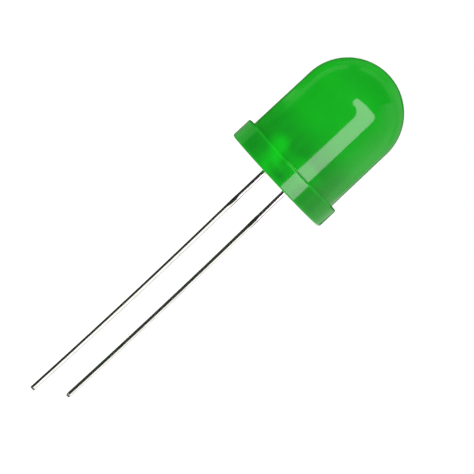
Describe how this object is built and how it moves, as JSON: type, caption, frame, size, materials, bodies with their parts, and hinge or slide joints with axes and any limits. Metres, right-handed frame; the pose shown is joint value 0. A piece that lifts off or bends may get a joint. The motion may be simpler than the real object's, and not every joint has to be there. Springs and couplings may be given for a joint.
{
  "type": "through hole led",
  "caption": "Round diffused green light-emitting diode with a domed epoxy lens on a rim and square tinned leads of unequal length.",
  "frame": {"origin": "centre of the round seating face under the rim, which lies on the circuit board", "axes": "+Z along the lens's axis from the seating face to the dome, leads along -Z, and +X from the longer lead to the shorter one"},
  "size_m": [0.0112, 0.0112, 0.0424],
  "materials": {
    "green_epoxy": "cast translucent epoxy, glossy",
    "tinned_steel": "bright tin plate on stamped steel",
    "semiconductor": "sawn chip with a polished top",
    "silver_adhesive": "cured silver-filled adhesive",
    "gold": "bright drawn wire"
  },
  "bodies": {
    "root": {"lens": "green_epoxy", "anvil_lead": "tinned_steel", "post_lead": "tinned_steel", "die": "semiconductor", "die_attach": "silver_adhesive", "bond_wire": "gold"}
  },
  "joints": []
}
